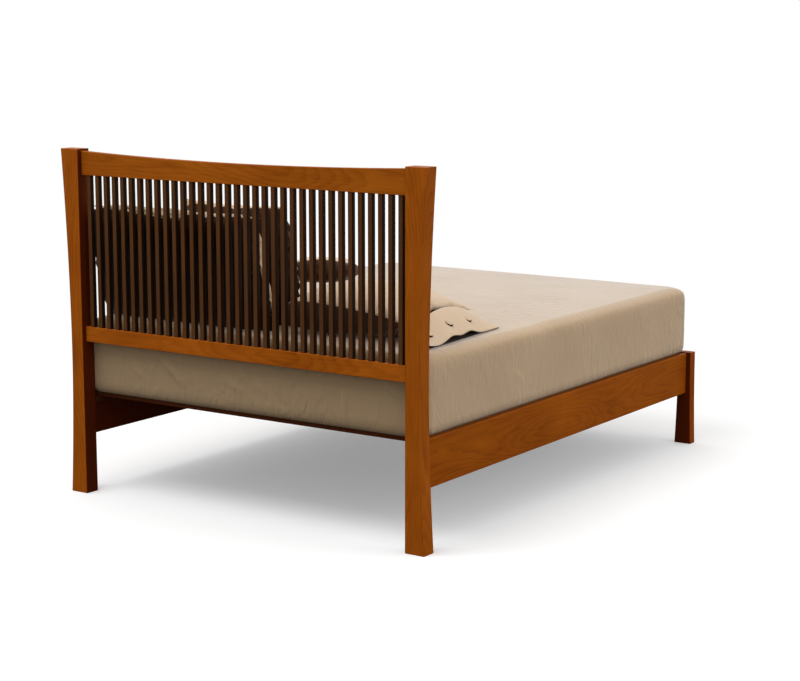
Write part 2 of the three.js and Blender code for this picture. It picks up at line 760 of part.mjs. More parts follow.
// Flap of the sham, beyond the seam at its outer end: it droops, and its free edge lies in waves
function shamFlap() {
  const seam = -SHAM_WIDTH / 2;
  const reach = SHAM_FLAP + SHAM_WIDTH * FLAP_OVERLAP_SHARE;
  const flap = new THREE.BoxGeometry(
    reach,
    SHAM_HEIGHT,
    SHAM_FLAP_THICKNESS,
    FLAP_STEPS,
    FLAP_WAVE_STEPS,
    1,
  );
  flap.translate(seam - SHAM_FLAP + reach / 2, 0, 0);
  const position = flap.getAttribute("position");
  for (let index = 0; index < position.count; index += 1) {
    const out = Math.max(seam - position.getX(index), 0) / SHAM_FLAP;
    const turn = (2 * Math.PI * position.getY(index)) / SHAM_FLAP_WAVE_LENGTH;
    const wave = (SHAM_FLAP_WAVE * (1 + Math.sin(turn))) / 2;
    const rise = out * (wave - SHAM_FLAP_DROOP);
    position.setZ(index, position.getZ(index) + rise);
  }
  return flap;
}

function buttonSham() {
  const powers = [SHAM_OUTER_PUFF_POWER, SHAM_INNER_PUFF_POWER];
  const pad = puffedPad(SHAM_WIDTH, SHAM_HEIGHT, SHAM_LOFT, LYING_UNDERSIDE_SHARE, powers);
  const sham = pressBase(join(pad, shamFlap()), SHAM_LOFT * PILLOW_FLAT_SHARE);
  const centreY = headFront - SHAM_HEAD_MARGIN - SHAM_HEIGHT / 2;
  return sham.rotateZ(SHAM_TURN).translate(shamX, centreY, mattressEdgeTop + MATTRESS_HEIGHT);
}

addHeadPosts();
addCrestRail();
addLowerHeadRail();
addSpindles();
addFootPosts();
addFootRail();
addSideRails();
addCleats();
addSlats();
addPillows(addMattress());

export default bed;
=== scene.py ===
import math

import bmesh
import bpy
from mathutils import Matrix, Vector, noise
from mathutils.bvhtree import BVHTree


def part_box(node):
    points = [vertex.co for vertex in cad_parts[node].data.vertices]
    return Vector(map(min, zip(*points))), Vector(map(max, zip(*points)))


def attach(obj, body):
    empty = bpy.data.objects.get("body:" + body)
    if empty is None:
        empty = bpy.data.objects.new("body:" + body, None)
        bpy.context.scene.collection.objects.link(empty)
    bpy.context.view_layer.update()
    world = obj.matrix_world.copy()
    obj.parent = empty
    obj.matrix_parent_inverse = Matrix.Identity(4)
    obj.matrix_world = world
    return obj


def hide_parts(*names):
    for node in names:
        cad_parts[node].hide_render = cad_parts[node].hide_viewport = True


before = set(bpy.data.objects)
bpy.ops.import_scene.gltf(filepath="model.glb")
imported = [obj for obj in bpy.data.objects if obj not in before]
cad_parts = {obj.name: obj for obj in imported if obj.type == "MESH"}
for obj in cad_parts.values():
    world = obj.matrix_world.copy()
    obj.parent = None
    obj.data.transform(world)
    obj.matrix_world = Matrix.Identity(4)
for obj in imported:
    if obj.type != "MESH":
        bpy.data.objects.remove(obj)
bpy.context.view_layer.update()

# Camera: a long lens behind the headboard, a little above it, that looks down the length of
# the bed towards its foot. The place and the angle were fitted to the posts and the rails.
CAMERA_PLACE = (-4.2776, 6.32405, 1.8383)
CAMERA_YAW = math.radians(34.07)
CAMERA_PITCH = math.radians(9.765)
CAMERA_LENS = 85
CAMERA_SENSOR = 36

camera = bpy.data.objects.new("camera", bpy.data.cameras.new("camera"))
bpy.context.collection.objects.link(camera)
camera.data.lens = CAMERA_LENS
camera.data.sensor_width = CAMERA_SENSOR
camera.location = CAMERA_PLACE
camera.rotation_euler = (math.pi / 2 - CAMERA_PITCH, 0, math.pi + CAMERA_YAW)
bpy.context.scene.camera = camera
bpy.context.scene.view_settings.view_transform = "Standard"


# Light: an even white room, with a weak soft box high over the left side of the bed and
# another beside its right side. The room gives nearly all of the shadow under the bed.
OVERHEAD_PLACE = (0.8, 3.0, 5.2)
OVERHEAD_SIZE = 3.2
OVERHEAD_POWER = 130
SIDE_PLACE = (-6, -1, 2.2)
SIDE_SIZE = 3.0
SIDE_POWER = 70
ROOM_STRENGTH = 0.80
BED_MIDDLE = Vector((0, 0, 0.5))


def soft_box(name, place, size, power):
    """A square lamp that is aimed at the bed."""
    lamp = bpy.data.lights.new(name, "AREA")
    lamp.shape = "SQUARE"
    lamp.size = size
    lamp.energy = power
    holder = bpy.data.objects.new(name, lamp)
    holder.location = place
    holder.rotation_euler = (BED_MIDDLE - Vector(place)).to_track_quat("-Z", "Y").to_euler()
    bpy.context.collection.objects.link(holder)


soft_box("overhead_light", OVERHEAD_PLACE, OVERHEAD_SIZE, OVERHEAD_POWER)
soft_box("side_light", SIDE_PLACE, SIDE_SIZE, SIDE_POWER)


def paint(code):
    """A colour written as sRGB hex, turned to the linear values that a shader takes."""
    shares = [int(code[place : place + 2], 16) / 255 for place in (1, 3, 5)]
    return (*[s / 12.92 if s <= 0.04045 else ((s + 0.055) / 1.055) ** 2.4 for s in shares], 1)


def add(tree, kind, settings, links):
    """A node with its settings and links, each named for a socket, its number or a property."""
    made = tree.nodes.new("ShaderNode" + kind)
    for name, value in settings.items():
        if not isinstance(name, int) and name not in made.inputs:
            setattr(made, name, value)
    for name, value in settings.items():
        if isinstance(name, int) or name in made.inputs:
            made.inputs[name].default_value = value
    for name, source in links.items():
        tree.links.new(source, made.inputs[name])
    return made


def new_tree(name):
    material = bpy.data.materials.new(name)
    material.use_nodes = True
    material.node_tree.nodes.clear()
    return material, material.node_tree


room = bpy.data.worlds.new("white_room")
room.use_nodes = True
room.node_tree.nodes.clear()
bpy.context.scene.world = room
seen = add(room.node_tree, "LightPath", {}, {})
around = add(
    room.node_tree, "Math", {"operation": "MAXIMUM"},
    {0: seen.outputs["Is Camera Ray"], 1: seen.outputs["Is Glossy Ray"]},
)
level = add(room.node_tree, "MapRange", {"To Min": ROOM_STRENGTH, "To Max": 1}, {"Value": around.outputs[0]})
sky = add(room.node_tree, "Background", {"Color": paint("#FFFFFF")}, {"Strength": level.outputs[0]})
add(room.node_tree, "OutputWorld", {}, {"Surface": sky.outputs[0]})


# Floor: a matt white paper sweep. It glows a little to the camera so that it runs into the
# white of the room, while the shadow of the bed stays grey on it.
FLOOR_SIZE = 60
FLOOR_GLOW = 0.27
FLOOR_PAPER = "#E8E8E8"
# The paper throws less light up under the bed than it shows to the camera
FLOOR_BOUNCE = "#6E6E6E"
# The paper runs into pure white from this far to this far from the middle of the bed
FADE_FROM = 1.8
FADE_TO = 4.5


def from_bmesh(name, shape, material):
    """A piece made from a bmesh, with its name and its first material."""
    mesh = bpy.data.meshes.new(name)
    shape.to_mesh(mesh)
    shape.free()
    mesh.materials.append(material)
    piece = bpy.data.objects.new(name, mesh)
    bpy.context.collection.objects.link(piece)
    return piece


paper, tree = new_tree("white_paper")
seen = add(tree, "LightPath", {}, {})
shown = add(tree, "BsdfDiffuse", {"Color": paint(FLOOR_PAPER)}, {})
glow = add(tree, "Emission", {"Color": paint("#FFFFFF"), "Strength": FLOOR_GLOW}, {})
bright = add(tree, "AddShader", {}, {0: shown.outputs[0], 1: glow.outputs[0]})
white = add(tree, "Emission", {"Color": paint("#FFFFFF"), "Strength": 1}, {})
place = add(tree, "TexCoord", {}, {})
distance = add(tree, "VectorMath", {"operation": "LENGTH"}, {0: place.outputs["Object"]})
fade = add(
    tree, "MapRange", {"interpolation_type": "SMOOTHSTEP", "From Min": FADE_FROM, "From Max": FADE_TO},
    {"Value": distance.outputs["Value"]},
)
faded_out = add(tree, "MixShader", {}, {0: fade.outputs[0], 1: bright.outputs[0], 2: white.outputs[0]})
bounce = add(tree, "BsdfDiffuse", {"Color": paint(FLOOR_BOUNCE)}, {})
mixed = add(
    tree, "MixShader", {},
    {0: seen.outputs["Is Camera Ray"], 1: bounce.outputs[0], 2: faded_out.outputs[0]},
)
add(tree, "OutputMaterial", {}, {"Surface": mixed.outputs[0]})

shape = bmesh.new()
bmesh.ops.create_grid(shape, x_segments=1, y_segments=1, size=FLOOR_SIZE / 2)
from_bmesh("floor", shape, paper)


# Cherry boards: solid cherry, planed and sanded, under a satin lacquer that warms it to an
# orange brown. The face of a board shows growth rings cut lengthwise, in long arches.

# How an upright trunk is turned to lie along each axis, and the turns that its tilt adds to
TRUNK_TURNS = {
    "X": (Vector((0, -math.pi / 2, 0)), Vector((0, 1, 0))),
    "Y": (Vector((math.pi / 2, 0, 0)), Vector((1, 0, 0))),
    "Z": (Vector((0, 0, 0)), Vector((1, 1, 0))),
}
# How fast each part of the figure changes across and along the trunk, in turns per metre. The
# fibres are about 1 mm wide here, far coarser than real ones, so that they show.
WANDER_STRETCH = (3.5, 3.5, 1.1)
WOBBLE_STRETCH = (26, 26, 4.5)
STREAK_STRETCH = (150, 150, 5)
CLOUD_STRETCH = (11, 11, 4)
FIBRE_STRETCH = (900, 900, 22)
# How far the rings stray from a circle, in metres, and how much each part shows in the tone
WANDER = 0.060
WOBBLE = 0.005
STREAK = 0.12
CLOUD = 0.20
FIBRE = 0.12
# The dark wood of a year grows in between these shares of its ring: it takes the tone from a
# little above its middle to further below it
LATE_FROM = 0.45
LATE_TO = 0.95
LATE_LIFT = 0.35
LATE_DROP = 0.65
GLOSS_SPREAD = 0.06
GRAIN_DEPTH = 0.0004
# A satin finish mirrors little of the white room, which would wash its colour out
WOOD_SHINE = 0.04


def noisy(tree, place, stretch, detail, reach):
    """Noise that is stretched along the grain, from -reach to reach."""
    drawn = add(tree, "VectorMath", {"operation": "MULTIPLY", 1: stretch}, {0: place})
    clouds = add(
        tree, "TexNoise", {"Scale": 1, "Detail": detail, "Roughness": 0.55}, {"Vector": drawn.outputs[0]}
    )
    spread = add(
        tree, "MapRange", {"From Min": 0.2, "From Max": 0.8, "To Min": -reach, "To Max": reach},
        {"Value": clouds.outputs["Fac"]},
    )
    return spread.outputs[0]


def total(tree, first, *others):
    """The sum of several values."""
    for other in others:
        first = add(tree, "Math", {"operation": "ADD"}, {0: first, 1: other}).outputs[0]
    return first


def faces_towards(tree, way):
    """1 on the faces of a piece that look one way, 0 on the others."""
    facing = add(tree, "NewGeometry", {}, {})
    agreed = add(tree, "VectorMath", {"operation": "DOT_PRODUCT", 1: way}, {0: facing.outputs["Normal"]})
    chosen = add(tree, "MapRange", {"From Min": 0.45, "From Max": 0.6}, {"Value": agreed.outputs["Value"]})
    return chosen.outputs[0]


def wood(name, shade, along, middle, pith, tilt, ring, figure, gloss, shaded_side=None):
    """Wood for a board that runs along one axis, with the heart of the tree beside it. Shaded_side
    gives the way in which some faces of the board look, and the darker colour painted on them as shade."""
    pale, dark = shade
    turn, tilted = TRUNK_TURNS[along]
    material, tree = new_tree(name)
    place = add(tree, "TexCoord", {}, {})
    centred = add(
        tree, "VectorMath", {"operation": "SUBTRACT", 1: tuple(middle)}, {0: place.outputs["Object"]}
    )
    trunk = add(
        tree, "Mapping", {"Rotation": tuple(turn + tilt * tilted), "Location": (*pith, 0)},
        {"Vector": centred.outputs[0]},
    ).outputs[0]
    across = add(tree, "VectorMath", {"operation": "MULTIPLY", 1: (1, 1, 0)}, {0: trunk})
    radius = add(tree, "VectorMath", {"operation": "LENGTH"}, {0: across.outputs[0]}).outputs["Value"]
    wander = noisy(tree, trunk, WANDER_STRETCH, 1, WANDER)
    wobble = noisy(tree, trunk, WOBBLE_STRETCH, 2, WOBBLE)
    strayed = total(tree, radius, wander, wobble)
    years = add(tree, "Math", {"operation": "DIVIDE", 1: ring}, {0: strayed})
    season = add(tree, "Math", {"operation": "FRACT"}, {0: years.outputs[0]})
    late = add(
        tree, "MapRange",
        {
            "From Min": LATE_FROM, "From Max": LATE_TO,
            "To Min": LATE_LIFT * figure, "To Max": -LATE_DROP * figure,
        },
        {"Value": season.outputs[0]},
    )
    fibre = noisy(tree, trunk, FIBRE_STRETCH, 2, FIBRE)
    streak = noisy(tree, trunk, STREAK_STRETCH, 2, STREAK)
    cloud = noisy(tree, trunk, CLOUD_STRETCH, 2, CLOUD)
    tone = total(tree, late.outputs[0], fibre, streak, cloud)
    share = add(tree, "Math", {"operation": "ADD", 1: 0.5, "use_clamp": True}, {0: tone})
    colour = add(
        tree, "Mix", {"data_type": "RGBA", 6: paint(dark), 7: paint(pale)}, {0: share.outputs[0]}
    ).outputs[2]
    # Faces that look the given way are painted darker, as shade
    if shaded_side:
        way, side_shade = shaded_side
        colour = add(
            tree, "Mix", {"data_type": "RGBA", 7: paint(side_shade)}, {0: faces_towards(tree, way), 6: colour}
        ).outputs[2]
    rough = add(
        tree, "MapRange",
        {
            "From Min": -FIBRE, "From Max": FIBRE,
            "To Min": gloss - GLOSS_SPREAD, "To Max": gloss + GLOSS_SPREAD,
        },
        {"Value": fibre},
    )
    bump = add(tree, "Bump", {"Strength": 0.12, "Distance": GRAIN_DEPTH}, {"Height": fibre})
    surface = add(
        tree, "BsdfPrincipled", {"IOR": 1.5, "Specular IOR Level": WOOD_SHINE},
        {"Base Color": colour, "Roughness": rough.outputs[0], "Normal": bump.outputs[0]},
    )
    add(tree, "OutputMaterial", {}, {"Surface": surface.outputs[0]})
    return material


def dress(node, material):
    """Gives a CAD node its finish."""
    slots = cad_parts[node].material_slots
    if not slots:
        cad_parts[node].data.materials.append(material)
    for holder in slots:
        holder.material = material


def middle_of(node):
    """The middle of a CAD node's box."""
    low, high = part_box(node)
    return (low + high) / 2


# Pale and dark wood of each board. The rails and foot posts have darker pairs: painted shade, for the less
# light under the mattress
POST_CHERRY = ("#B86314", "#743200")
CREST_CHERRY = ("#B36213", "#713200")
RAIL_CHERRY_SHADED = ("#B05D0B", "#703000")
FOOT_CHERRY_SHADED = ("#A55008", "#662900")
CHERRY_GLOSS = 0.42
# Rings are drawn about twice as wide as real ones, so that their arches show
CHERRY_RING = 0.009
CHERRY_FIGURE = 0.18
# The faces that look in under the bed are painted this darker colour, as shade
INNER_PAINTED_SHADE = "#582006"
INWARD = 1 if middle_of("head_post_left").x < 0 else -1

# Board, shade, way of its grain, place of the heart beside its middle, tilt of the trunk, and
# the way of its faces that are painted darker as shade. Both rails of the headboard show from either side.
CHERRY_BOARDS = (
    ("head_post_left", POST_CHERRY, "Z", (0.11, 0.05), 0.010, (INWARD, 0, 0)),
    ("head_post_right", POST_CHERRY, "Z", (-0.12, 0.06), -0.012, (-INWARD, 0, 0)),
    ("crest_rail", CREST_CHERRY, "X", (0.015, 0.120), 0.030, None),
    ("lower_head_rail", POST_CHERRY, "X", (-0.010, 0.130), -0.018, None),
    ("foot_post_left", FOOT_CHERRY_SHADED, "Z", (0.10, 0.05), 0.015, (INWARD, 1, 0)),
    ("foot_post_right", FOOT_CHERRY_SHADED, "Z", (-0.09, -0.06), -0.014, (-INWARD, 1, 0)),
    ("foot_rail", RAIL_CHERRY_SHADED, "X", (0.010, -0.130), 0.024, (0, 1, 0)),
    ("side_rail_left", RAIL_CHERRY_SHADED, "Y", (-0.140, 0.012), 0.026, (INWARD, 0, 0)),
    ("side_rail_right", RAIL_CHERRY_SHADED, "Y", (0.130, -0.006), -0.030, (-INWARD, 0, 0)),
)
for board, shade, along, pith, tilt, inward in CHERRY_BOARDS:
    cherry = wood(
        "lacquered_cherry_" + board, shade, along, middle_of(board), pith, tilt, CHERRY_RING,
        CHERRY_FIGURE, CHERRY_GLOSS, (inward, INNER_PAINTED_SHADE) if inward else None,
    )
    dress(board, cherry)


# Spindles: square walnut sticks, 19 mm thick, tenoned and glued into the crest rail and the
# lower rail. Their grain is straight and dark, and each stick is a shade of its own.
WALNUT = ("#643F22", "#3C2310")
WALNUT_RING = 0.004
WALNUT_FIGURE = 0.15
WALNUT_GLOSS = 0.5
WALNUT_LEAN = 0.006
# The sides that look to the camera's side of the bed lie in each other's shade, and are painted darker as
# shade
WALNUT_SIDE_SHADE = ((-1, 0, 0), "#2C190C")

spindles = sorted(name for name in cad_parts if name.startswith("spindle_"))
for number, name in enumerate(spindles):
    # Each stick was sawn from its own place beside the heart of the tree
    pith = (0.05 + 0.013 * (number % 5), 0.04 + 0.011 * (number % 7))
    lean = WALNUT_LEAN * math.sin(2.4 * number)
    walnut = wood(
        "oiled_walnut_" + name, WALNUT, "Z", middle_of(name), pith, lean, WALNUT_RING, WALNUT_FIGURE,
        WALNUT_GLOSS, WALNUT_SIDE_SHADE,
    )
    dress(name, walnut)


# Cleats and slats: planed poplar that carries the mattress, painted dark brown as shade, for the
# shade under it. The cleats are screwed to the inside of the side rails, and the slats lie across them.
POPLAR_IN_SHADE = ("#5A2C14", "#431E0C")
POPLAR_PITH = (0.03, 0.05)
POPLAR_TILT = 0.02
POPLAR_RING = 0.008
POPLAR_FIGURE = 0.3
POPLAR_GLOSS = 0.7

for name in sorted(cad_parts):
    if name.startswith("slat_"):
        along = "Y" if "cleat" in name else "X"
        poplar = wood(
            "shaded_poplar_" + name, POPLAR_IN_SHADE, along, middle_of(name), POPLAR_PITH, POPLAR_TILT,
            POPLAR_RING, POPLAR_FIGURE, POPLAR_GLOSS,
        )
        dress(name, poplar)


# Mattress: a foam core 292 mm deep in a fitted cotton cover. The cover is pulled over the
# rounded edges, and its sides hang in fine upright creases.
MATTRESS_CELL = 0.0085
CORNER_ROUND = 0.046
TOP_ROUND = 0.026
BASE_ROUND = 0.003
SIDE_BULGE = 0.029
HEAD_BULGE = 0.003
CROWN = 0.004
# The base fills the room between the rails. The cover is straight as far as it stands between
# them and swells out above: a higher power makes it turn in more suddenly at its edge.
BASE_FILL = 0.0111
SWELL_FROM = 0.004
LOW_SWELL_POWER = 16
HIGH_SWELL_POWER = 9
# How much closer than the middle ones the rows of the base and of the top edge lie, 0 to 1
ROW_CROWDING = 0.8

# Pulls in the head end of the cover: (x, z) of both ends, width and height, in metres
HEAD_PULLS = (
    ((0.419, 0.576), (0.303, 0.473), 0.008, 0.01280),
    ((0.138, 0.582), (0.122, 0.548), 0.007, 0.00960),
    ((-0.619, 0.583), (-0.699, 0.525), 0.008, 0.01280),
    ((0.100, 0.509), (0.021, 0.478), 0.007, 0.00832),
    ((0.190, 0.572), (0.156, 0.548), 0.008, 0.00704),
    ((-0.371, 0.565), (-0.413, 0.522), 0.009, 0.00704),
    ((0.527, 0.584), (0.492, 0.550), 0.009, 0.00832),
    ((-0.135, 0.535), (-0.151, 0.484), 0.009, 0.00704),
    ((0.031, 0.553), (-0.002, 0.520), 0.008, 0.00704),
    ((-0.035, 0.522), (-0.085, 0.484), 0.008, 0.00768),
    ((-0.445, 0.534), (-0.449, 0.405), 0.008, 0.00640),
    ((0.548, 0.517), (0.500, 0.475), 0.010, 0.00640),
)
# A pull starts and ends at this share of half a wave, so that its ends are blunt
PULL_BLUNT = 0.12

# Creases of the walls: how far apart, how long and how high they are, in metres
CREASE_SPACING = 0.045
CREASE_LENGTH = 0.30
CREASE_RELIEF = 0.0010
# How much of their spacing they wander, how often in a metre, and how narrow they are, 0 to 1
CREASE_BEND = 0.35
CREASE_WANDER = 9
CREASE_NARROW = 0.22
# Seed of their wandering, without which it would change from run to run
CREASE_SEED = 7
# They come in patches, with this share of their height in between
CREASE_LEAST = 0.3
PATCH_STRETCH = (2.4, 2.4, 2)
# Height of the soft waves of the walls and of the top, in metres, and waves per metre
WALL_WAVES = 0.0022
WALL_WAVE_STRETCH = (7, 7, 5)
TOP_WAVES = 0.0012
TOP_WAVE_STRETCH = (3.1, 4.3, 0)

mattress_low, mattress_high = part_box("mattress")
mattress_half = mattress_high.x - SIDE_BULGE
mattress_head = mattress_high.y - HEAD_BULGE
mattress_foot = mattress_low.y + SIDE_BULGE
mattress_depth = mattress_high.z - CROWN - mattress_low.z


def wall_profile(share):
    """How far the wall of the mattress stands in and how high it is, a share of the way up it.
    The rows lie closer together at the base and at the top edge, where the wall turns."""
    share -= ROW_CROWDING * math.sin(2 * math.pi * share) / (2 * math.pi)
    arcs = math.pi / 2 * (BASE_ROUND + TOP_ROUND)
    path = share * (mattress_depth - BASE_ROUND - TOP_ROUND + arcs)
    straight_from = math.pi / 2 * BASE_ROUND
    straight_to = straight_from + mattress_depth - BASE_ROUND - TOP_ROUND
    if path < straight_from:
        angle = path / BASE_ROUND
        return BASE_ROUND * (1 - math.sin(angle)), BASE_ROUND * (1 - math.cos(angle))
    if path < straight_to:
        return 0, BASE_ROUND + path - straight_from
    angle = (path - straight_to) / TOP_ROUND
    return TOP_ROUND * (1 - math.cos(angle)), mattress_depth - TOP_ROUND * (1 - math.sin(angle))


def rounded_plan(across, along, half_x, half_y):
    """A point of a square, each way from -1 to 1, moved into a rectangle with round corners."""
    x, y = across * half_x, along * half_y
    past_x, past_y = abs(x) - half_x + CORNER_ROUND, abs(y) - half_y + CORNER_ROUND
    if past_x > 0 and past_y > 0:
        draw = max(past_x, past_y) / math.hypot(past_x, past_y)
        x = math.copysign(half_x - CORNER_ROUND + past_x * draw, x)
        y = math.copysign(half_y - CORNER_ROUND + past_y * draw, y)
    return x, y


def mattress_place(across, along, up):
    """A point of a cube, each way from -1 to 1, moved to the surface of the mattress."""
    inset, height = wall_profile((up + 1) / 2)
    if height < mattress_depth / 2:
        risen = max(height - SWELL_FROM, 0) / (mattress_depth / 2 - SWELL_FROM)
        swell = 1 - (1 - risen) ** LOW_SWELL_POWER
        filled = BASE_FILL * (1 - swell)
    else:
        swell = 1 - (2 * height / mattress_depth - 1) ** HIGH_SWELL_POWER
        filled = 0
    side = SIDE_BULGE * swell + filled - inset
    head = (HEAD_BULGE if along > 0 else SIDE_BULGE) * swell - inset
    half_y = (mattress_head - mattress_foot) / 2
    x, y = rounded_plan(across, along, mattress_half + side, half_y + head)
    on_top = up > 0.9999
    if on_top:
        height += CROWN * (1 - max(abs(across), abs(along)) ** 4)
    return Vector((x, y + (mattress_head + mattress_foot) / 2, mattress_low.z + height))


def smooth_step(low, high, value):
    share = min(max((value - low) / (high - low), 0), 1)
    return share * share * (3 - 2 * share)


def bell(distance, width):
    """A smooth rise, 1 at its middle, that has all but gone at twice its width."""
    return math.exp(-((distance / width) ** 2))


def wave(place, stretch, start=0):
    """Soft noise, about -1 to 1, at a place: its stretch is waves per metre on each axis."""
    return noise.noise(Vector((place.x * stretch[0], place.y * stretch[1], place.z * stretch[2] + start)))


def crease(place):
    """A sharp fold of cloth, 0 to 1, where a stretched noise passes through zero."""
    bent = place + CREASE_BEND * CREASE_SPACING * noise.noise_vector(place * CREASE_WANDER)
    folds = wave(bent, (1 / CREASE_SPACING, 1 / CREASE_SPACING, 1 / CREASE_LENGTH))
    return max(0, 1 - abs(folds) / CREASE_NARROW) ** 2


def pull(x, z, stroke):
    """Height of one pull in the cover at a point of the head end."""
    (from_x, from_z), (to_x, to_z), width, height = stroke
    way = Vector((to_x - from_x, to_z - from_z))
    offset = Vector((x - from_x, z - from_z))
    share = min(max(offset.dot(way) / way.length_squared, 0), 1)
    gap = (offset - way * share).length
    taper = math.sin(math.pi * (PULL_BLUNT + (1 - 2 * PULL_BLUNT) * share))
    return height * taper * bell(gap, width)


def cover_relief(place, normal):
    """How far the cover stands off the smooth form at a point of it."""
    height = (place.z - mattress_low.z) / mattress_depth
    wall = 1 - abs(normal.z)
    patch = smooth_step(-0.25, 0.35, wave(place, PATCH_STRETCH, 7))
    fade = smooth_step(0.02, 0.2, height) * (1 - smooth_step(0.86, 0.99, height))
    relief = wall * fade * (CREASE_LEAST + (1 - CREASE_LEAST) * patch) * CREASE_RELIEF * crease(place)
    relief += WALL_WAVES * wall * fade * wave(place, WALL_WAVE_STRETCH)
    relief += TOP_WAVES * (1 - wall) * wave(place, TOP_WAVE_STRETCH, 4)
    if normal.y > 0.5:
        relief += sum(pull(place.x, place.z, stroke) for stroke in HEAD_PULLS)
    return relief


def gridded_cube(sizes, cell):
    """A cube from -1 to 1 whose faces are cut into cells as fine as its real sizes ask."""
    shape = bmesh.new()
    bmesh.ops.create_cube(shape, size=2)
    for axis, size in enumerate(sizes):
        edges = [edge for edge in shape.edges if abs((edge.verts[0].co - edge.verts[1].co)[axis]) > 1]
        bmesh.ops.subdivide_edges(shape, edges=edges, cuts=round(size / cell), use_grid_fill=True)
    return shape


noise.seed_set(CREASE_SEED)
shape = gridded_cube((2 * mattress_half, mattress_head - mattress_foot, mattress_depth), MATTRESS_CELL)
for vertex in shape.verts:
    vertex.co = mattress_place(*vertex.co)
bmesh.ops.recalc_face_normals(shape, faces=shape.faces)
# The underside is flat, so its cells are joined into one face
under = [
    face
    for face in shape.faces
    if face.normal.z < -0.99 and face.calc_center_median().z < mattress_low.z + 0.001
]
bmesh.ops.dissolve_faces(shape, faces=under)
shape.normal_update()
moves = [(vertex, vertex.normal * cover_relief(vertex.co, vertex.normal)) for vertex in shape.verts]
for vertex, move in moves:
    vertex.co += move
for face in shape.faces:
    face.smooth = True

# Cotton: a plain weave drawn as 2 mm threads, far coarser than the real ones, so that it shows
THREAD = 0.002
THREAD_DEPTH = 0.0006
# How much the fuzz of single threads adds to the soft clouds of its tone
SLUB = 0.3
# The noise of the tone runs between these values from the dark shade to the pale one
TONE_FROM = 0.2
TONE_TO = 0.7
# The cover's cotton, the painted shade on its head end, and the painted shade where it is tucked in
COVER_SHADE = ("#C1A584", "#B79B7A")
COVER_SHEEN = 0.9
HEAD_PAINTED_SHADE = "#9C8363"
TUCK_PAINTED_SHADE = "#3E342A"
# The painted shade low on the cover starts a little below the top of the rails and fades out above it
TUCK_BELOW_RAIL = 0.002
TUCK_FADE = 0.045
# The hem has no sheen, up to this height over the rails
HEM_OVER_RAIL = 0.014
# Creases too fine for the mesh: turns per metre across and along them, and their depth
FINE_CREASE_STRETCH = (20, 20, 8)
FINE_CREASE_DEPTH = 0.016

rail_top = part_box("side_rail_left")[1].z


def cotton(name, shade, sheen, worked=None):
    """A plain-woven cotton with slightly uneven threads, of a pale and a dark tone. A function
    may work more into it: it takes the tree, place, tone, colour and bump, and gives back the
    last two."""
    pale, dark = shade
    material, tree = new_tree(name)
    place = add(tree, "TexCoord", {}, {}).outputs["Object"]
    scaled = add(tree, "VectorMath", {"operation": "SCALE", "Scale": 1 / THREAD}, {0: place})
    threads = add(tree, "TexNoise", {"Scale": 1, "Detail": 1}, {"Vector": scaled.outputs[0]})
    fuzz = add(
        tree, "TexNoise", {"Scale": 1 / (3 * THREAD), "Detail": 3, "Roughness": 0.65}, {"Vector": place}
    )
    cloud = add(tree, "TexNoise", {"Scale": 3, "Detail": 3, "Roughness": 0.55}, {"Vector": place})
    share = add(
        tree, "Math", {"operation": "MULTIPLY_ADD", 1: SLUB},
        {0: fuzz.outputs["Fac"], 2: cloud.outputs["Fac"]},
    )
    tone = add(
        tree, "MapRange", {"From Min": TONE_FROM + SLUB / 2, "From Max": TONE_TO + SLUB / 2},
        {"Value": share.outputs[0]},
    ).outputs[0]
    colour = add(
        tree, "Mix", {"data_type": "RGBA", 6: paint(dark), 7: paint(pale)}, {0: tone}
    ).outputs[2]
    bump = add(
        tree, "Bump", {"Strength": 0.2, "Distance": THREAD_DEPTH}, {"Height": threads.outputs["Fac"]}
    ).outputs[0]
    if worked:
        colour, bump = worked(tree, place, tone, colour, bump)
    surface = add(
        tree, "BsdfPrincipled",
        {"Roughness": 0.9, "Sheen Weight": sheen, "Sheen Roughness": 0.35, "Specular IOR Level": 0.2},
        {"Base Color": colour, "Normal": bump},
    )
    add(tree, "OutputMaterial", {}, {"Surface": surface.outputs[0]})
    return material


def upright_creases(tree, place, bump):
    """Wavy creases that run up and down the walls of a cover, and faint ones on its top."""
    drawn = add(tree, "VectorMath", {"operation": "MULTIPLY", 1: FINE_CREASE_STRETCH}, {0: place})
    folds = add(tree, "TexNoise", {"Scale": 1, "Detail": 2, "Distortion": 1.8}, {"Vector": drawn.outputs[0]})
    patches = add(tree, "TexNoise", {"Scale": 3.5, "Detail": 1}, {"Vector": place})
    patchy = add(
        tree, "MapRange", {"From Min": 0.38, "From Max": 0.62, "To Min": 0.35},
        {"Value": patches.outputs["Fac"]},
    )
    facing = add(tree, "NewGeometry", {}, {})
    parts = add(tree, "SeparateXYZ", {}, {0: facing.outputs["Normal"]})
    level = add(tree, "Math", {"operation": "ABSOLUTE"}, {0: parts.outputs["Z"]})
    wall = add(tree, "MapRange", {"To Min": 1, "To Max": 0.4}, {"Value": level.outputs[0]})
    share = add(tree, "Math", {"operation": "MULTIPLY"}, {0: wall.outputs[0], 1: patchy.outputs[0]})
    height = add(tree, "Math", {"operation": "MULTIPLY"}, {0: folds.outputs["Fac"], 1: share.outputs[0]})
    return add(
        tree, "Bump", {"Strength": 0.6, "Distance": FINE_CREASE_DEPTH},
        {"Height": height.outputs[0], "Normal": bump},
    ).outputs[0]


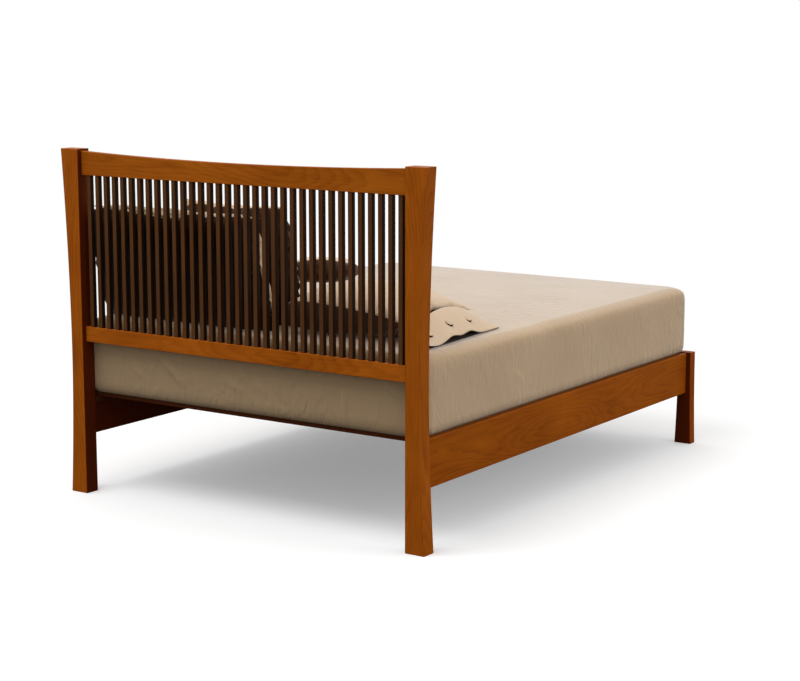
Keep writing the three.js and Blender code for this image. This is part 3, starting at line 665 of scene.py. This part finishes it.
def creased_and_shaded(tree, place, tone, colour, bump):
    """The cover's creases, painted shade on its head end, and painted shade low down where it is tucked in.
    """
    headed = add(
        tree, "Mix", {"data_type": "RGBA", 7: paint(HEAD_PAINTED_SHADE)},
        {0: faces_towards(tree, (0, 1, 0)), 6: colour},
    )
    parts = add(tree, "SeparateXYZ", {}, {0: place})
    tuck_from = rail_top - TUCK_BELOW_RAIL
    clear = add(
        tree, "MapRange", {"From Min": tuck_from, "From Max": tuck_from + TUCK_FADE},
        {"Value": parts.outputs["Z"]},
    )
    eased_in = add(tree, "Math", {"operation": "POWER", 1: 0.4}, {0: clear.outputs[0]})
    shaded = add(
        tree, "Mix", {"data_type": "RGBA", 6: paint(TUCK_PAINTED_SHADE)},
        {0: eased_in.outputs[0], 7: headed.outputs[2]},
    )
    return shaded.outputs[2], upright_creases(tree, place, bump)


cover_cloth = cotton("cotton_percale_cover", COVER_SHADE, COVER_SHEEN, worked=creased_and_shaded)
hem_cloth = cotton("cotton_percale_hem", COVER_SHADE, sheen=0, worked=creased_and_shaded)
for face in shape.faces:
    if face.calc_center_median().z < rail_top + HEM_OVER_RAIL:
        face.material_index = 1
cover = from_bmesh("mattress_cover", shape, cover_cloth)
cover.data.materials.append(hem_cloth)
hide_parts("mattress")
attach(cover, "mattress")


# Pillows: feather pillows in cotton cases, each sewn from a beige front and a dark brown back.
# A case is laid out flat and filled by a cloth simulation, then it is set in its place, where
# it lies flat against the mattress, the spindles or the pillow behind it.
BEIGE = ("#D6BDA0", "#CBB194")
BROWN = ("#3C2618", "#2E1C11")
# The brown back of a standing pillow is painted nearly black below, as shade, and stays brown at the top
BACK_PAINTED_SHADE = "#0E0805"
CASE_SHEEN = 0.4
# The seam of the two panels draws the cloth in over this width, by this depth
SEAM_WIDTH = 0.006
SEAM_DEPTH = 0.003
# The colours of the panels meet over this width on either side of the seam
PANEL_EDGE = 0.0006
CASE_CELL = 0.009
CASE_RIM = 0.0012
FILL_FRAMES = 22
# Cloths at rest stay this far apart, and come that close over this distance
REST_GAP = 0.0008
REST_EASE = 0.004
# Further off than this many times that distance, they don't feel each other
FAR_OFF = 30
# How far from a pillow a surface is still looked for
NEAR = 0.12
TRIM_BANDS = 40
STANDING = math.radians(76)

# Width, height and thickness of each pillow
LONG_SIZE = (0.836, 0.468, 0.150)
SQUARE_SIZE = (0.490, 0.490, 0.120)
SHAM_SIZE = (0.530, 0.520, 0.200)
THROW_SIZE = (0.280, 0.280, 0.098)
# The long case is laid out lower than it is in the end, and higher in its middle
LONG_LAID = 0.462
LONG_ARCH = 0.03
# Heights over the floor between which the painted shade on the brown back of a pillow gives way to its brown
LONG_SHADE_HEIGHTS = (1.02, 1.14)
SQUARE_SHADE_HEIGHTS = (0.72, 1.05)
# How far the front panel comes round the left, right, top and bottom edge, where that is even
SHAM_LAPS = (0, 0, -0.032, 0)
THROW_LAPS = (-0.035, -0.035, -0.045, -0.035)
# The long pillow's front comes over the top by this much at this place, less to its left and
# right over these widths, and round its inner end in a tongue of this much at this height
LONG_TOP_LAP = 0.062
LONG_TOP_LAP_AT = -0.01
LONG_TOP_LAP_WIDTHS = (0.26, 0.18)
LONG_END_LAP = -0.020
LONG_TONGUE = 0.050
LONG_TONGUE_AT = 0.04
LONG_TONGUE_WIDTH = 0.11
SQUARE_END_LAP = -0.040
SQUARE_TOP_LAP = 0.022
SQUARE_TOP_LAP_SLOPE = 0.05
# Outline of the long pillow about its middle: its foot edge, and the peak of its top edge
LONG_FOOT = -0.240
LONG_TOP = 0.234
LONG_PEAK = -0.046
# How far the top edge drops to the left and to the right of its peak, and over which distance
LONG_DROPS = ((0.007, 0.336), (0.026, 0.434))
# How far out its ends are, how hollow they are, and how the right one tapers in lower down
LONG_END = 0.414
LONG_HOLLOW = 0.08
LONG_TAPER = 0.07
LONG_TAPER_FROM = -0.05
# Outline of the square pillow, with the rise of its top edge to the left and the right corner
SQUARE_FOOT = -0.250
SQUARE_TOP = 0.229
SQUARE_EARS = (0.010, 0.016)
SQUARE_EAR_POWER = 1.5
SQUARE_ENDS = (-0.230, 0.241)
SQUARE_HOLLOW = 0.06


def two_toned(shade_heights):
    """What is worked into the cotton of a case: its brown back, painted shade low on it where heights are
    given, and the seam of both panels.
    """

    def worked(tree, place, tone, colour, bump):
        panel = add(tree, "Attribute", {"attribute_name": "front_panel"}, {})
        front = add(
            tree, "MapRange", {"From Min": -PANEL_EDGE, "From Max": PANEL_EDGE},
            {"Value": panel.outputs["Fac"]},
        )
        behind = add(
            tree, "Mix", {"data_type": "RGBA", 6: paint(BROWN[1]), 7: paint(BROWN[0])}, {0: tone}
        ).outputs[2]
        # Painted shade: the back goes nearly black below the lower height
        if shade_heights:
            parts = add(tree, "SeparateXYZ", {}, {0: place})
            raised = add(
                tree, "MapRange", {"From Min": shade_heights[0], "From Max": shade_heights[1]},
                {"Value": parts.outputs["Z"]},
            )
            behind = add(
                tree, "Mix", {"data_type": "RGBA", 6: paint(BACK_PAINTED_SHADE)}, {0: raised.outputs[0], 7: behind}
            ).outputs[2]
        both = add(tree, "Mix", {"data_type": "RGBA"}, {0: front.outputs[0], 6: behind, 7: colour})
        gap = add(tree, "Math", {"operation": "ABSOLUTE"}, {0: panel.outputs["Fac"]})
        drawn = add(
            tree, "MapRange", {"interpolation_type": "SMOOTHSTEP", "From Max": SEAM_WIDTH},
            {"Value": gap.outputs[0]},
        )
        seam = add(
            tree, "Bump", {"Strength": 0.5, "Distance": SEAM_DEPTH},
            {"Height": drawn.outputs[0], "Normal": bump},
        )
        return both.outputs[2], seam.outputs[0]

    return worked


def fill(case, pressure):
    """Cotton that the filling blows out, so that it puckers where the seams hold it."""
    settings = case.modifiers.new("filling", "CLOTH").settings
    settings.quality = 5
    settings.mass = 0.15
    settings.use_pressure = True
    settings.uniform_pressure_force = pressure
    settings.tension_stiffness = 40
    settings.compression_stiffness = 5
    settings.shear_stiffness = 5
    settings.bending_stiffness = 0.4
    settings.effector_weights.gravity = 0


def sewn_case(name, size, laps, start, pressure, powers=(0.42, 0.42), arch=0, shade_heights=None):
    """A case laid flat about the origin: two panels, joined all round, with a share of its
    filling to start with. Its powers say how full its left and its right edge are, and its
    laps how far the front panel comes round each edge, or the back panel where they are
    negative."""
    width, height, loft = size
    shape = gridded_cube((width, height), CASE_CELL)
    panel = shape.verts.layers.float.new("front_panel")
    for vertex in shape.verts:
        across, along, side = vertex.co
        x, y = across * width / 2, along * height / 2
        edges = (width / 2 + x, width / 2 - x, height / 2 - y, height / 2 + y)
        vertex[panel] = side * min(edge + side * lap for edge, lap in zip(edges, laps(x, y)))
        power = powers[0] + (powers[1] - powers[0]) * (across + 1) / 2
        puff = max((1 - across**2) * (1 - along**2), 0) ** power
        y += arch * (1 - across**2) * (along + 1) / 2
        vertex.co = (x, y, side * (CASE_RIM + start * loft / 2 * puff))
    for face in shape.faces:
        face.smooth = True
    bmesh.ops.recalc_face_normals(shape, faces=shape.faces)
    case = from_bmesh(name, shape, cotton("cotton_" + name, BEIGE, CASE_SHEEN, two_toned(shade_heights)))
    fill(case, pressure)
    return case


def drawn_out(case, size, middle=0.5):
    """The filled case, brought to its size: swelling has drawn it in and made it thick. The
    middle is the share of its thickness that lies under its seam."""
    width, height, loft = size
    filled = case.evaluated_get(bpy.context.evaluated_depsgraph_get())
    shape = bmesh.new()
    shape.from_mesh(filled.data)
    spans = [[vertex.co[axis] for vertex in shape.verts] for axis in range(3)]
    low, high = [Vector([pick(span) for span in spans]) for pick in (min, max)]
    for vertex in shape.verts:
        x = (vertex.co.x - (low.x + high.x) / 2) * width / (high.x - low.x)
        y = (vertex.co.y - (low.y + high.y) / 2) * height / (high.y - low.y)
        thick = loft * (1 - middle) / high.z if vertex.co.z > 0 else -loft * middle / low.z
        vertex.co = (x, y, vertex.co.z * thick)
    return shape


def trimmed(shape, axis, low_edge, high_edge):
    """Moves the outline of a filled case to where the real one has it. The edges say how far
    out it lies at each place along the other axis, and what is between them moves in step."""
    along = 1 - axis
    places = [vertex.co[along] for vertex in shape.verts]
    start, step = min(places), (max(places) - min(places)) / TRIM_BANDS
    reach = [[math.inf, -math.inf] for band in range(TRIM_BANDS + 1)]
    for vertex in shape.verts:
        band = round((vertex.co[along] - start) / step)
        reach[band][0] = min(reach[band][0], vertex.co[axis])
        reach[band][1] = max(reach[band][1], vertex.co[axis])
    for vertex in shape.verts:
        place = (vertex.co[along] - start) / step
        band = min(int(place), TRIM_BANDS - 1)
        share = place - band
        low, high = [reach[band][end] * (1 - share) + reach[band + 1][end] * share for end in (0, 1)]
        to_low, to_high = low_edge(vertex.co[along]), high_edge(vertex.co[along])
        vertex.co[axis] = to_low + (vertex.co[axis] - low) * (to_high - to_low) / (high - low)


def turned(shape, lean, turn):
    """Leans a shape that lies flat back about its width, then turns it about the upright."""
    bmesh.ops.rotate(shape, verts=shape.verts, matrix=Matrix.Rotation(lean, 3, "X"))
    bmesh.ops.rotate(shape, verts=shape.verts, matrix=Matrix.Rotation(turn, 3, "Z"))


def set_in_place(shape, node, holds):
    """Moves a shape to where its box and the CAD node's agree: each hold is a share of the box."""
    low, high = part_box(node)
    for axis, hold in enumerate(holds):
        span = [vertex.co[axis] for vertex in shape.verts]
        own = min(span) + hold * (max(span) - min(span))
        move = low[axis] + hold * (high[axis] - low[axis]) - own
        for vertex in shape.verts:
            vertex.co[axis] += move


def eased(stand):
    """A distance from a surface, raised smoothly to no less than the gap at rest."""
    past = (stand - REST_GAP) / REST_EASE
    return REST_GAP + REST_EASE * (math.log1p(math.exp(past)) if past < FAR_OFF else past)


def lie_against(shape, neighbours):
    """Presses a pillow flat where it would reach into the surfaces around it."""
    for surface in neighbours:
        for vertex in shape.verts:
            place, normal, face, distance = surface.find_nearest(vertex.co, NEAR)
            if place is not None:
                stand = (vertex.co - place).dot(normal)
                vertex.co += normal * (eased(stand) - stand)


def held_within(shape, surface, spare):
    """Draws in what swelled past the room that a pillow has, smoothly, to no more than spare."""
    for vertex in shape.verts:
        place, normal, face, distance = surface.find_nearest(vertex.co, NEAR)
        if place is not None:
            stand = (vertex.co - place).dot(normal)
            vertex.co += normal * (spare - eased(spare - stand) - stand)


def surface_of(shape):
    return BVHTree.FromBMesh(shape)


def mesh_surface(piece):
    """The surface of a finished piece, for others to lie against."""
    shape = bmesh.new()
    shape.from_mesh(piece.data)
    return surface_of(shape)


def finish_case(case, shape, node, body):
    """Gives a case its final shape, hides the CAD node that it stands for, and sets what it moves with."""
    case.modifiers.clear()
    bmesh.ops.recalc_face_normals(shape, faces=shape.faces)
    shape.to_mesh(case.data)
    shape.free()
    smooth = case.modifiers.new("smooth_cloth", "SUBSURF")
    smooth.levels = 1
    smooth.render_levels = 1
    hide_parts(node)
    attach(case, body)


def long_laps(x, y):
    """The beige front comes far over the top of the long pillow, and round its inner end."""
    past = x - LONG_TOP_LAP_AT
    top = LONG_TOP_LAP * bell(past, LONG_TOP_LAP_WIDTHS[past > 0])
    return LONG_END_LAP + LONG_TONGUE * bell(y - LONG_TONGUE_AT, LONG_TONGUE_WIDTH), 0, top, 0


def square_laps(x, y):
    """The brown back comes round the inner edge, and the front over the top, more to one side."""
    return SQUARE_END_LAP, 0, SQUARE_TOP_LAP + SQUARE_TOP_LAP_SLOPE * x, 0


def long_top(x):
    """Upper edge of the long pillow, which drops off to both sides of its peak."""
    past = x - LONG_PEAK
    drop, reach = LONG_DROPS[past > 0]
    return LONG_TOP - drop * (past / reach) ** 2


def long_end(y):
    """How far out either end of the long pillow is: hollow between its corners."""
    return LONG_END + LONG_HOLLOW * y * y


def square_top(x):
    """Upper edge of the square pillow, which rises to an ear at both corners."""
    return SQUARE_TOP + SQUARE_EARS[x > 0] * (abs(x) / (SQUARE_SIZE[0] / 2)) ** SQUARE_EAR_POWER


long_case = sewn_case(
    "long_pillow_case", (LONG_SIZE[0], LONG_LAID, LONG_SIZE[2]), long_laps, start=0.35, pressure=3.0,
    arch=LONG_ARCH, shade_heights=LONG_SHADE_HEIGHTS,
)
square_case = sewn_case(
    "square_pillow_case", SQUARE_SIZE, square_laps, start=0.35, pressure=3.0, shade_heights=SQUARE_SHADE_HEIGHTS
)
sham_case = sewn_case(
    "button_sham_case", SHAM_SIZE, lambda x, y: SHAM_LAPS, start=0.7, pressure=1.2, powers=(0.75, 0.12)
)
throw_case = sewn_case(
    "throw_pillow_case", THROW_SIZE, lambda x, y: THROW_LAPS, start=0.8, pressure=4.0, powers=(0.28, 0.28)
)
for frame_number in range(1, FILL_FRAMES + 1):
    bpy.context.scene.frame_set(frame_number)

cover_surface = mesh_surface(cover)
spindle_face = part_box(spindles[0])[0].y

shape = drawn_out(long_case, LONG_SIZE)
trimmed(shape, 1, lambda x: LONG_FOOT, long_top)
trimmed(
    shape, 0, lambda y: -long_end(y), lambda y: long_end(y) + LONG_TAPER * min(y - LONG_TAPER_FROM, 0)
)
turned(shape, STANDING, 0)
set_in_place(shape, "long_pillow", (0.5, 1, 1))
for vertex in shape.verts:
    vertex.co.y = spindle_face - eased(spindle_face - vertex.co.y)
lie_against(shape, [cover_surface])
long_surface = surface_of(shape)
finish_case(long_case, shape, "long_pillow", "long_pillow")

shape = drawn_out(square_case, SQUARE_SIZE)
trimmed(shape, 1, lambda x: SQUARE_FOOT, square_top)
trimmed(
    shape, 0, lambda y: SQUARE_ENDS[0] - SQUARE_HOLLOW * y * y,
    lambda y: SQUARE_ENDS[1] + SQUARE_HOLLOW * y * y,
)
turned(shape, STANDING, 0)
set_in_place(shape, "square_pillow", (0.5, 1, 1))
lie_against(shape, [long_surface, cover_surface])
square_surface = surface_of(shape)
finish_case(square_case, shape, "square_pillow", "square_pillow")


# Sham: the same two cloths, full at its inner end and thin at the outer one, where a flap
# hangs from the seam. The flap is two cloths thick, bound in brown, and has three buttons.
SHAM_PLACE = Vector((-0.349, 0.65175, 0))
SHAM_TURN = math.radians(4)
SHAM_HALF = (SHAM_SIZE[0] / 2, SHAM_SIZE[1] / 2)
SHAM_MIDDLE = 0.44
SHAM_SEAM_HEIGHT = 0.070
SHAM_SLOPE_POWER = 1.5
SHAM_SPARE = 0.001
# The cover is a little lower under the sham than at its highest point
MATTRESS_DIP = 0.0015
# The seam that the flap hangs from: its highest point, where that is, and how fast it drops
HEM_TOP = 0.0975
HEM_PEAK = -0.02
HEM_DROP = 1.04
FLAP_REACH = 0.100
FLAP_TUCK = 0.010
FLAP_THICKNESS = 0.004
FLAP_SAG = 1.25
# Waves of the flap's free edge: the middle, the height and the width of each
FLAP_WAVES = ((-0.030, 0.0195, 0.060), (0.095, 0.0200, 0.060), (0.275, 0.0080, 0.045))
UNDER_REACH = 0.092
UNDER_THICKNESS = 0.002
UNDER_DROP = 0.008
# The strip under the flap meets the mattress at this share of its reach
UNDER_LANDS = 0.8
BINDING = ("#38251A", "#2C1B12")
BINDING_SHEEN = 0.05
# How far out from the seam and along it the middle of each button is
BUTTON_PLACES = ((0.057, -0.092), (0.057, 0.050), (0.049, 0.186))
BUTTON_RADIUS = 0.017
BUTTON_DEPTH = 0.008
BUTTON_ROUND = 0.006
BUTTON_SUNK = 0.001
# The slope of the flap under a button is measured this far to each side of its middle
BUTTON_STEP = 0.005
# Faces of a button that look up less than this are brown, painted shade under its rim; others beige
BUTTON_SHADE_RIM = 0.35
mattress_top = mattress_high.z - MATTRESS_DIP


def hem_height(y):
    """Height of the seam that the flap hangs from, over the mattress."""
    return HEM_TOP - HEM_DROP * (y - HEM_PEAK) ** 2


def edge_height(y):
    """Height of the free edge of the flap over the mattress: it lies in low waves."""
    return REST_GAP + sum(high * bell(y - at, wide) for at, high, wide in FLAP_WAVES)


def flap_height(out, y):
    """Height of the flap over the mattress, at a place so far out from its seam."""
    share = max(out / FLAP_REACH, 0)
    return hem_height(y) + (edge_height(y) - hem_height(y)) * share**FLAP_SAG


def under_height(out, y):
    """The brown strip under the flap drops from the same seam to the mattress, and lies on it."""
    share = min(max(out / UNDER_REACH, 0), 1)
    return REST_GAP + (hem_height(y) - UNDER_DROP) * (1 - smooth_step(0, UNDER_LANDS, share))


def lay_sham(shape):
    """Moves what was made about the sham's own middle to where the sham lies on the mattress."""
    bmesh.ops.rotate(shape, verts=shape.verts, matrix=Matrix.Rotation(SHAM_TURN, 3, "Z"))
    bmesh.ops.translate(shape, verts=shape.verts, vec=SHAM_PLACE + Vector((0, 0, mattress_top)))


shape = drawn_out(sham_case, SHAM_SIZE, SHAM_MIDDLE)
for vertex in shape.verts:
    share = (SHAM_HALF[0] - vertex.co.x) / SHAM_SIZE[0]
    vertex.co.z += SHAM_SEAM_HEIGHT + share**SHAM_SLOPE_POWER * (hem_height(vertex.co.y) - SHAM_SEAM_HEIGHT)
lay_sham(shape)
held_within(shape, mesh_surface(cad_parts["button_sham"]), SHAM_SPARE)
lie_against(shape, [cover_surface, long_surface, square_surface])
sham_surface = surface_of(shape)
finish_case(sham_case, shape, "button_sham", "sham")

flap_cloth = cotton("beige_cotton_flap", BEIGE, CASE_SHEEN)
edge_cloth = cotton("brown_cotton_binding", BINDING, BINDING_SHEEN)


def flange(name, material, reach, height, thickness):
    """A strip of cloth, closed round its edge, that hangs from the outer seam of the sham."""
    shape = bmesh.new()
    bmesh.ops.create_grid(shape, x_segments=20, y_segments=90, size=1)
    for vertex in shape.verts:
        out = -FLAP_TUCK + (reach + FLAP_TUCK) * (1 - vertex.co.x) / 2
        y = vertex.co.y * SHAM_HALF[1]
        vertex.co = (-SHAM_HALF[0] - out, y, height(out, y) + thickness)
    for face in shape.faces:
        face.smooth = True
    lay_sham(shape)
    piece = from_bmesh(name, shape, material)
    piece.data.materials.append(edge_cloth)
    doubled = piece.modifiers.new("two_cloths", "SOLIDIFY")
    doubled.thickness = thickness
    doubled.offset = -1
    doubled.material_offset = 1
    doubled.material_offset_rim = 1
    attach(piece, "sham")


flange("sham_flap", flap_cloth, FLAP_REACH, flap_height, FLAP_THICKNESS)
flange("sham_under_flap", edge_cloth, UNDER_REACH, under_height, UNDER_THICKNESS)

shape = bmesh.new()
for out, y in BUTTON_PLACES:
    made = bmesh.ops.create_cone(
        shape, cap_ends=True, segments=32, radius1=BUTTON_RADIUS, radius2=BUTTON_RADIUS,
        depth=BUTTON_DEPTH,
    )
    disc = set(made["verts"])
    top = [edge for edge in shape.edges if all(end in disc and end.co.z > 0 for end in edge.verts)]
    rise = flap_height(out + BUTTON_STEP, y) - flap_height(out - BUTTON_STEP, y)
    slope = math.atan2(rise, 2 * BUTTON_STEP)
    spot = Vector((-SHAM_HALF[0] - out, y, flap_height(out, y) + FLAP_THICKNESS))
    spot.z += BUTTON_DEPTH / 2 - BUTTON_SUNK
    bmesh.ops.rotate(shape, verts=made["verts"], matrix=Matrix.Rotation(slope, 3, "Y"))
    bmesh.ops.translate(shape, verts=made["verts"], vec=spot)
    bmesh.ops.bevel(
        shape, geom=top, offset=BUTTON_ROUND, segments=4, profile=0.5, affect="EDGES", material=-1
    )
for face in shape.faces:
    face.smooth = True
    # Painted shade: the steep sides of the buttons get the brown cloth
    if face.normal.z < BUTTON_SHADE_RIM:
        face.material_index = 1
lay_sham(shape)
buttons = from_bmesh("sham_buttons", shape, flap_cloth)
buttons.data.materials.append(edge_cloth)
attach(buttons, "sham")


# Throw pillow: a small one of the same make that lies on the inner end of the sham, with its
# head edge up against the square pillow.
THROW_LEAN = math.radians(8)
THROW_TURN = math.radians(30)

shape = drawn_out(throw_case, THROW_SIZE)
turned(shape, THROW_LEAN, THROW_TURN)
set_in_place(shape, "throw_pillow", (0.5, 0.5, 0.5))
lie_against(shape, [sham_surface, square_surface])
finish_case(throw_case, shape, "throw_pillow", "throw_pillow")
